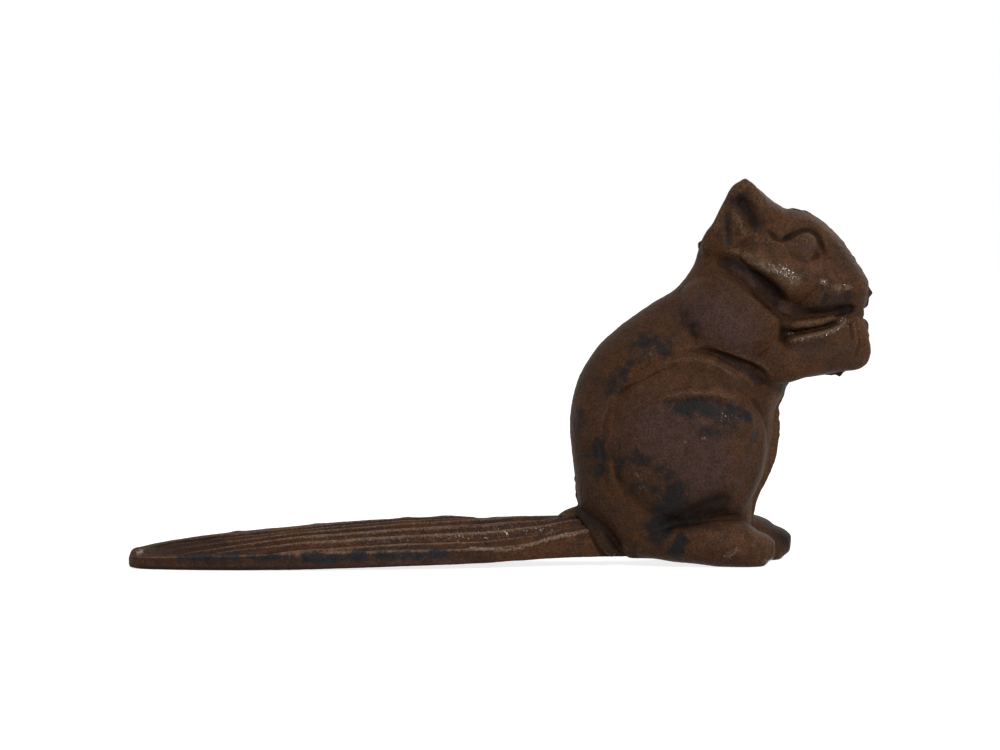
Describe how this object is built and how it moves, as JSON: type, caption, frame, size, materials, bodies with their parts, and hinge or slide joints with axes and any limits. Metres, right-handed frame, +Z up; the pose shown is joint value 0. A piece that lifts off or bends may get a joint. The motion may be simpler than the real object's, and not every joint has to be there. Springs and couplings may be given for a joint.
{
  "type": "doorstop",
  "caption": "Doorstop shaped as a sitting squirrel with its paws at its mouth; its long low ribbed tail is the wedge under the door, clamped between the hollow halves of its body.",
  "frame": {"origin": "under the middle of the object's box, on the floor that the tail and both feet rest on", "axes": "+X from the tail's tip towards the squirrel's snout, +Y towards its left side, +Z up"},
  "size_m": [0.2406, 0.0472, 0.1224],
  "materials": {
    "cast_body": "rough as-cast skin, rust brown with black worn patches",
    "cast_tail": "rough as-cast skin, rust brown with black worn patches",
    "screw": "browned steel, brighter at the slot's edges"
  },
  "bodies": {
    "root": {"right_half": "cast_body", "left_half": "cast_body", "tail_wedge": "cast_tail", "clamp_screw": "screw"}
  },
  "joints": []
}
